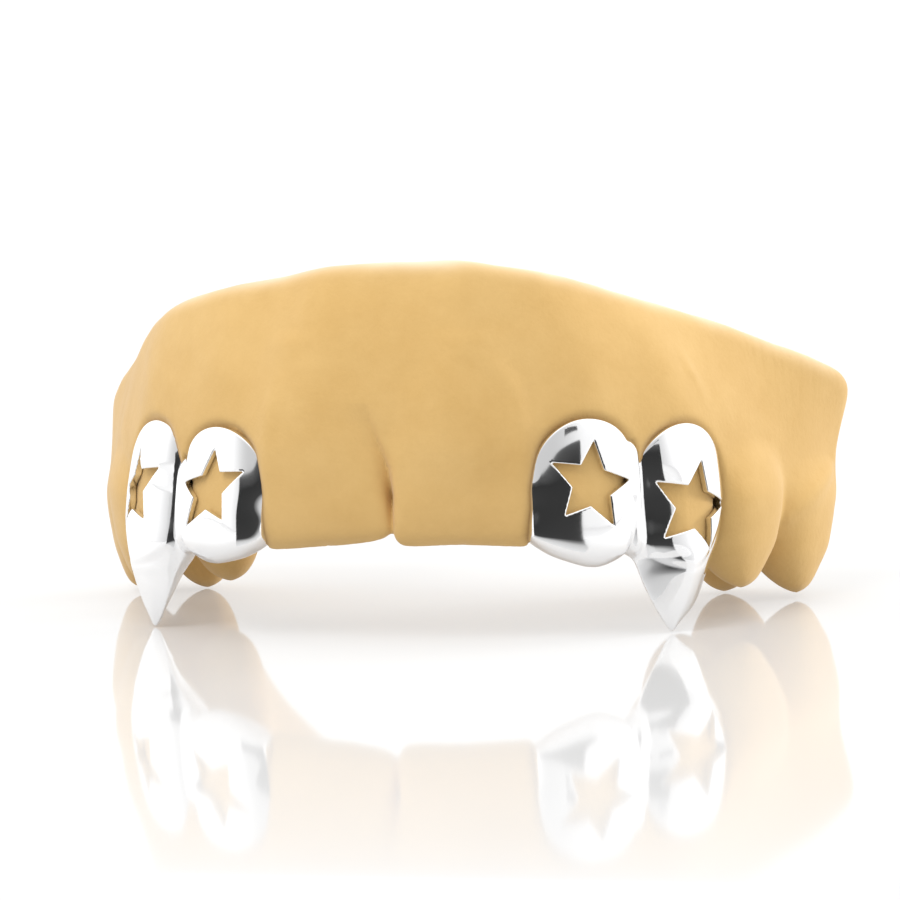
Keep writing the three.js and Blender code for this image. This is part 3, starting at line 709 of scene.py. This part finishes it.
def surface_net(values, low, step):
    """Points and quads of the zero surface, one point in each cell that it crosses."""
    inside = values < 0
    cells = np.array(values.shape) - 1
    count = np.zeros(cells, np.uint8)
    for x, y, z in CORNERS:
        count += inside[x:x + cells[0], y:y + cells[1], z:z + cells[2]]
    active = np.argwhere((count > 0) & (count < 8))
    number = np.full(cells, -1, np.int64)
    number[tuple(active.T)] = np.arange(len(active))
    total = np.zeros((len(active), 3))
    hits = np.zeros(len(active))
    for first in range(8):
        for axis in range(3):
            if CORNERS[first][axis]:
                continue
            second = CORNERS[first].copy()
            second[axis] = 1
            value_a = values[tuple((active + CORNERS[first]).T)]
            value_b = values[tuple((active + second).T)]
            crosses = (value_a < 0) != (value_b < 0)
            gap = np.where(crosses, value_a - value_b, 1.0)
            share = np.where(crosses, value_a / gap, 0.0)
            point = CORNERS[first] + share[:, None] * (second - CORNERS[first])
            total += np.where(crosses[:, None], point, 0.0)
            hits += crosses
    points = low + (active + total / hits[:, None]) * step
    quads = []
    for axis in range(3):
        across, through = (axis + 1) % 3, (axis + 2) % 3
        ahead = np.roll(inside, -1, axis=axis)
        changed = np.argwhere(inside != ahead)
        keep = changed[:, axis] < cells[axis]
        for other in (across, through):
            keep &= (changed[:, other] > 0) & (changed[:, other] < cells[other])
        changed = changed[keep]
        ring = []
        for da, dt in ((-1, -1), (0, -1), (0, 0), (-1, 0)):
            cell = changed.copy()
            cell[:, across] += da
            cell[:, through] += dt
            ring.append(number[tuple(cell.T)])
        ring = np.stack(ring, axis=1)
        leaving = inside[tuple(changed.T)]
        quads.append(np.where(leaving[:, None], ring, ring[:, ::-1]))
    return points, np.concatenate(quads)


def slope_of(field, points, reach=0.02):
    slope = np.empty_like(points)
    for axis in range(3):
        offset = np.zeros(3)
        offset[axis] = reach
        slope[:, axis] = (field(points + offset) - field(points - offset)) / (2 * reach)
    return slope


def drawn_on(field, points, step, rounds=3):
    """Points moved on to the zero surface, and the normals there."""
    for _ in range(rounds):
        slope = slope_of(field, points)
        size = np.maximum((slope ** 2).sum(axis=1), 0.05)
        move = (field(points) / size)[:, None] * slope
        length = np.maximum(np.linalg.norm(move, axis=1), 1e-9)
        points = points - move * np.minimum(1.0, 0.4 * step / length)[:, None]
    normal = slope_of(field, points)
    return points, normal / np.maximum(np.linalg.norm(normal, axis=1), 1e-9)[:, None]


def meshed(name, field, low, high, step, limit=None):
    """Piece drawn from a field, thinned where it is plain when it has more triangles than the limit."""
    low = np.array(low, float)
    values = sample_grid(field, low, np.array(high, float), step)
    points, faces = surface_net(values, low, step)
    points, normals = drawn_on(field, points, step)
    mesh = bpy.data.meshes.new(name)
    mesh.from_pydata(points.tolist(), [], faces.tolist())
    piece = bpy.data.objects.new(name, mesh)
    bpy.context.scene.collection.objects.link(piece)
    if limit and 2 * len(faces) > limit:
        thin = piece.modifiers.new("thin", "DECIMATE")
        thin.ratio = limit / (2 * len(faces))
        bpy.context.view_layer.update()
        thinned = piece.evaluated_get(bpy.context.evaluated_depsgraph_get())
        mesh = bpy.data.meshes.new_from_object(thinned)
        piece.modifiers.clear()
        piece.data = mesh
        points = np.empty(3 * len(mesh.vertices))
        mesh.vertices.foreach_get("co", points)
        points, normals = drawn_on(field, points.reshape(-1, 3), step, 1)
    mesh.vertices.foreach_set("co", ((points - ORIGIN) * MM).ravel())
    mesh.polygons.foreach_set("use_smooth", np.ones(len(mesh.polygons), bool))
    mesh.update()
    mesh.normals_split_custom_set_from_vertices(normals.tolist())
    return piece, points


def add_attribute(piece, name, values):
    attribute = piece.data.attributes.new(name, "FLOAT", "POINT")
    attribute.data.foreach_set("value", np.asarray(values, np.float32))


# Materials

def new_material(name):
    material = bpy.data.materials.new(name)
    material.use_nodes = True
    nodes = material.node_tree.nodes
    nodes.clear()
    output = nodes.new("ShaderNodeOutputMaterial")
    shader = nodes.new("ShaderNodeBsdfPrincipled")
    material.node_tree.links.new(shader.outputs["BSDF"], output.inputs["Surface"])
    return material, nodes, material.node_tree.links, shader


def noise_node(nodes, links, coordinates, scale, detail, roughness=0.5):
    node = nodes.new("ShaderNodeTexNoise")
    node.inputs["Scale"].default_value = scale
    node.inputs["Detail"].default_value = detail
    node.inputs["Roughness"].default_value = roughness
    links.new(coordinates.outputs["Object"], node.inputs["Vector"])
    return node


def ramp_node(nodes, links, source, stops):
    node = nodes.new("ShaderNodeValToRGB")
    ramp = node.color_ramp
    while len(ramp.elements) < len(stops):
        ramp.elements.new(0.5)
    for element, (place, color) in zip(ramp.elements, stops):
        element.position = place
        element.color = (*color, 1.0)
    links.new(source, node.inputs["Fac"])
    return node


def plaster_material():
    material, nodes, links, shader = new_material("plaster")
    coordinates = nodes.new("ShaderNodeTexCoord")
    clouds = noise_node(nodes, links, coordinates, 130.0, 10.0, 0.72)
    tint = ramp_node(nodes, links, clouds.outputs["Fac"], (
        (0.30, (0.590, 0.368, 0.126)),
        (0.70, (0.670, 0.440, 0.170)),
    ))
    # Lighter rim colour from the rim mask: partly worn plaster, partly a painted highlight along the top
    # edge and on the base face
    rim = nodes.new("ShaderNodeAttribute")
    rim.attribute_name = "rim"
    worn = nodes.new("ShaderNodeMix")
    worn.data_type = "RGBA"
    links.new(rim.outputs["Fac"], worn.inputs["Factor"])
    links.new(tint.outputs["Color"], worn.inputs["A"])
    worn.inputs["B"].default_value = (0.82, 0.71, 0.55, 1.0)
    # Painted contact shade: dark brown along the caps' edges and on the plaster seen inside the stars
    contact_shade_mask = nodes.new("ShaderNodeAttribute")
    contact_shade_mask.attribute_name = "contact_shade_mask"
    painted_contact_shade = nodes.new("ShaderNodeMix")
    painted_contact_shade.data_type = "RGBA"
    links.new(contact_shade_mask.outputs["Fac"], painted_contact_shade.inputs["Factor"])
    links.new(worn.outputs["Result"], painted_contact_shade.inputs["A"])
    painted_contact_shade.inputs["B"].default_value = (0.30, 0.15, 0.045, 1.0)
    links.new(painted_contact_shade.outputs["Result"], shader.inputs["Base Color"])
    shader.inputs["Roughness"].default_value = 0.72
    shader.inputs["Specular IOR Level"].default_value = 0.25
    shader.inputs["Sheen Weight"].default_value = 0.2
    shader.inputs["Sheen Roughness"].default_value = 0.5
    grain = noise_node(nodes, links, coordinates, 3200.0, 3.0, 0.6)
    bump = nodes.new("ShaderNodeBump")
    bump.inputs["Strength"].default_value = 0.32
    bump.inputs["Distance"].default_value = 0.00008
    links.new(grain.outputs["Fac"], bump.inputs["Height"])
    links.new(bump.outputs["Normal"], shader.inputs["Normal"])
    return material


def silver_material():
    material, nodes, links, shader = new_material("silver")
    coordinates = nodes.new("ShaderNodeTexCoord")
    haze = noise_node(nodes, links, coordinates, 500.0, 2.0)
    spread = nodes.new("ShaderNodeMapRange")
    spread.inputs["To Min"].default_value = 0.045
    spread.inputs["To Max"].default_value = 0.085
    links.new(haze.outputs["Fac"], spread.inputs["Value"])
    links.new(spread.outputs["Result"], shader.inputs["Roughness"])
    shader.inputs["Base Color"].default_value = (0.94, 0.94, 0.945, 1.0)
    shader.inputs["Metallic"].default_value = 1.0
    return material


def floor_material():
    material, nodes, links, shader = new_material("floor")
    shader.inputs["Base Color"].default_value = (0.5, 0.5, 0.5, 1.0)
    shader.inputs["Emission Color"].default_value = (1.0, 1.0, 1.0, 1.0)
    shader.inputs["Emission Strength"].default_value = 0.2
    shader.inputs["Roughness"].default_value = 0.06
    shader.inputs["IOR"].default_value = 1.22
    coordinates = nodes.new("ShaderNodeTexCoord")
    places = nodes.new("ShaderNodeSeparateXYZ")
    links.new(coordinates.outputs["Object"], places.inputs["Vector"])
    gloss = nodes.new("ShaderNodeMapRange")
    gloss.inputs["From Min"].default_value = -0.09
    gloss.inputs["From Max"].default_value = -0.04
    gloss.inputs["To Min"].default_value = 0.0
    gloss.inputs["To Max"].default_value = 1.0
    links.new(places.outputs["Y"], gloss.inputs["Value"])
    links.new(gloss.outputs["Result"], shader.inputs["Specular IOR Level"])
    return material


# Pieces

plaster = plaster_material()
silver = silver_material()

# Grills: side, name, solid, and the corners of the box that is meshed
GRILLS = (
    (1, "grill_right", "fang_grill_right", (6.4, -8.0, -0.6), (21.4, 7.6, 15.4)),
    (-1, "grill_left", "fang_grill_left", (-21.4, -8.0, -0.6), (-6.4, 7.6, 15.4)),
)
CAST_BOX = ((-27.0, -9.2, -0.6), (28.4, 20.6, 26.4))

for side, name, solid, low, high in GRILLS:
    piece, _ = meshed(name, grill_field(side), low, high, GRILL_STEP)
    piece.data.materials.append(silver)
    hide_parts(solid)
    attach(piece, "root")

field, envelope, gum = cast_field()
cast, cast_points = meshed("cast", field, *CAST_BOX, CAST_STEP, CAST_LIMIT)
# Mask of the painted contact shade on the plaster round the caps, reaching a little in under their edges
away = envelope(cast_points)
contact_shade_strength, contact_shade_reach, contact_shade_under = CONTACT_SHADE
painted_contact_shade = np.where(away > -contact_shade_under, np.exp(-np.maximum(away, 0.0) / contact_shade_reach), 0.0) * contact_shade_strength
add_attribute(cast, "contact_shade_mask", painted_contact_shade)

# Mask of the lighter rim, partly wear and partly a painted highlight: in patches along the top edge, more at
# the front, and spread over the base face
below_base = np.maximum(base_height(cast_points) - cast_points[:, 2], 0.0)
patch, patch_swing, patch_length, patch_most = RIM_WEAR_AND_HIGHLIGHT_PATCHES
patches = np.clip(patch + patch_swing * noise(cast_points, patch_length), 0.0, patch_most)
front_least, front_more, front_middle, front_reach = RIM_WEAR_AND_HIGHLIGHT_OVER_FRONT
front_share = np.exp(-((cast_points[:, 0] - front_middle) / front_reach) ** 2)
over_front = front_least + front_more * front_share
at = gum.look_up(cast_points)
face_edge, face_fade, face_strength = RIM_WEAR_AND_HIGHLIGHT_ON_FACE
inside_rim = np.maximum(at["rim"] - at["outwards"] - face_edge, 0.0)
on_rim = np.exp(-(inside_rim / face_fade) ** 2)
worn = patches * on_rim + face_strength * (1 - on_rim)
add_attribute(cast, "rim", over_front * worn * np.exp(-(below_base / RIM_WEAR_AND_HIGHLIGHT_DEPTH) ** 2))
cast.data.materials.append(plaster)
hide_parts("dental_cast")
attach(cast, "root")

# Floor, light and camera

FLOOR_REACH = 4.0
FLOOR_DROP = 0.00003  # below the tips that stand on it
floor_corners = [
    (-FLOOR_REACH, -FLOOR_REACH, 0),
    (FLOOR_REACH, -FLOOR_REACH, 0),
    (FLOOR_REACH, FLOOR_REACH, 0),
    (-FLOOR_REACH, FLOOR_REACH, 0),
]
floor_mesh = bpy.data.meshes.new("floor")
floor_mesh.from_pydata(floor_corners, [], [(0, 1, 2, 3)])
floor = bpy.data.objects.new("floor", floor_mesh)
floor.location.z = -FLOOR_DROP
floor.data.materials.append(floor_material())
bpy.context.scene.collection.objects.link(floor)

world = bpy.data.worlds.new("studio")
world.use_nodes = True
nodes = world.node_tree.nodes
links = world.node_tree.links
background = nodes["Background"]
background.inputs["Color"].default_value = (1.0, 1.0, 1.0, 1.0)
direction = nodes.new("ShaderNodeTexCoord")
towards_front = nodes.new("ShaderNodeVectorMath")
towards_front.operation = "DOT_PRODUCT"
towards_front.inputs[1].default_value = (0.0, -1.0, 0.0)
links.new(direction.outputs["Generated"], towards_front.inputs[0])
# Strength of the surroundings: from and to along the direction of the front, and the strengths there
SURROUNDINGS = (
    (0.1, 0.95, 1.4, 0.64),
    (-0.95, -0.55, 0.72, 1.0),
)
strengths = nodes.new("ShaderNodeMath")
strengths.operation = "MULTIPLY"
for number, (low, high, strength_low, strength_high) in enumerate(SURROUNDINGS):
    brightness = nodes.new("ShaderNodeMapRange")
    brightness.interpolation_type = "SMOOTHSTEP"
    brightness.inputs["From Min"].default_value = low
    brightness.inputs["From Max"].default_value = high
    brightness.inputs["To Min"].default_value = strength_low
    brightness.inputs["To Max"].default_value = strength_high
    links.new(towards_front.outputs["Value"], brightness.inputs["Value"])
    links.new(brightness.outputs["Result"], strengths.inputs[number])
links.new(strengths.outputs["Value"], background.inputs["Strength"])
bpy.context.scene.world = world


def soft_light(name, place, target, size, power):
    data = bpy.data.lights.new(name, "AREA")
    data.shape = "DISK"
    data.size = size
    data.energy = power
    light = bpy.data.objects.new(name, data)
    light.location = place
    light.rotation_euler = (Vector(target) - Vector(place)).to_track_quat("-Z", "Y").to_euler()
    light.visible_glossy = False
    bpy.context.scene.collection.objects.link(light)


# Lights: name, place, target, size, power
LIGHTS = (
    ("key", (-0.22, -0.45, 0.6), (0.0, 0.0, 0.0), 0.4, 2.5),
    ("right", (0.47, 0.3, 0.08), (0.0, 0.0, 0.01), 0.15, 1.7),
)
for light in LIGHTS:
    soft_light(*light)


def flag_material():
    """Card whose front shows its own shade, and whose back is clear."""
    material = bpy.data.materials.new("flag")
    material.use_nodes = True
    nodes = material.node_tree.nodes
    links = material.node_tree.links
    nodes.clear()
    output = nodes.new("ShaderNodeOutputMaterial")
    shade = nodes.new("ShaderNodeAttribute")
    shade.attribute_name = "shade"
    glow = nodes.new("ShaderNodeEmission")
    links.new(shade.outputs["Fac"], glow.inputs["Strength"])
    clear = nodes.new("ShaderNodeBsdfTransparent")
    geometry = nodes.new("ShaderNodeNewGeometry")
    chosen = nodes.new("ShaderNodeMixShader")
    links.new(geometry.outputs["Backfacing"], chosen.inputs["Fac"])
    links.new(glow.outputs["Emission"], chosen.inputs[1])
    links.new(clear.outputs["BSDF"], chosen.inputs[2])
    links.new(chosen.outputs["Shader"], output.inputs["Surface"])
    return material


# Dark cards that the silver mirrors, in front of the teeth. Each has the heights of its top by
# the angle round the front, then the edges of its section: distance from the middle of the arch,
# share of the top's height, shade.
FLAG_MIDDLE = (0.0, 5.0)
FLAG_FOOT = 0.1
FLAGS = (
    ("flag_low", ((-47, 14.0), (-18, 16.5), (7, 19.5), (25, 18.8), (54, 18.5)), (
        (20.0, 0.0, 0.85), (26.0, 0.0, 0.72), (34.0, 0.0, 0.6), (40.0, 0.0, 0.42), (42.0, 0.0, 0.35),
        (42.0, 0.1, 0.2), (42.0, 0.2, 0.05), (42.0, 0.8, 0.035), (42.0, 1.0, 0.1),
    )),
    ("flag_high", ((41, 23.0), (53, 23.0)), ((42.0, 0.92, 0.1), (42.0, 1.0, 0.1))),
)
FLAG_STEPS = 24
flag_look = flag_material()
for name, tops, profile in FLAGS:
    points = []
    for degrees in np.linspace(tops[0][0], tops[-1][0], FLAG_STEPS + 1):
        angle = math.radians(degrees)
        top = np.interp(degrees, [row[0] for row in tops], [row[1] for row in tops])
        for distance, share, _ in profile:
            x = FLAG_MIDDLE[0] + distance * math.sin(angle)
            y = FLAG_MIDDLE[1] - distance * math.cos(angle)
            points.append((np.array((x, y, FLAG_FOOT + share * top)) - ORIGIN) * MM)
    faces = []
    for step in range(FLAG_STEPS):
        for edge in range(len(profile) - 1):
            first = step * len(profile) + edge
            second = first + len(profile)
            faces.append((first, first + 1, second + 1, second))
    mesh = bpy.data.meshes.new(name)
    mesh.from_pydata(points, [], faces)
    flag = bpy.data.objects.new(name, mesh)
    add_attribute(flag, "shade", [row[2] for row in profile] * (FLAG_STEPS + 1))
    flag.data.materials.append(flag_look)
    flag.visible_camera = False
    flag.visible_diffuse = False
    flag.visible_shadow = False
    flag.visible_transmission = False
    bpy.context.scene.collection.objects.link(flag)

PICTURE_SIZE = 900
SENSOR_SIZE = 36
CAMERA_PIXELS = 7549  # focal length in pixels of the picture
CAMERA_LENS = CAMERA_PIXELS / PICTURE_SIZE * SENSOR_SIZE
CAMERA_DISTANCE = 500.0
CAMERA_TURN = math.radians(11.65)
CAMERA_RISE = math.radians(7.77)
CAMERA_ROLL = math.radians(1.31)
CAMERA_AIM = (2.69, 11.99)

back = Vector((
    math.sin(CAMERA_TURN) * math.cos(CAMERA_RISE),
    -math.cos(CAMERA_TURN) * math.cos(CAMERA_RISE),
    math.sin(CAMERA_RISE),
))
right = Vector((math.cos(CAMERA_TURN), math.sin(CAMERA_TURN), 0.0))
up = right.cross(-back)
aim = right * CAMERA_AIM[0] + Vector((0.0, 0.0, CAMERA_AIM[1]))
eye = (aim + back * CAMERA_DISTANCE - Vector(ORIGIN)) * MM
own_right = right * math.cos(CAMERA_ROLL) - up * math.sin(CAMERA_ROLL)
own_up = right * math.sin(CAMERA_ROLL) + up * math.cos(CAMERA_ROLL)
turn = Matrix((own_right, own_up, back)).transposed().to_4x4()
camera_data = bpy.data.cameras.new("camera")
camera_data.lens = CAMERA_LENS
camera_data.sensor_width = SENSOR_SIZE
camera_data.clip_start = 0.01
camera_data.clip_end = 20
camera = bpy.data.objects.new("camera", camera_data)
camera.matrix_world = Matrix.Translation(eye) @ turn
bpy.context.scene.collection.objects.link(camera)
bpy.context.scene.camera = camera

bpy.context.scene.view_settings.view_transform = "Standard"

bpy.context.view_layer.update()
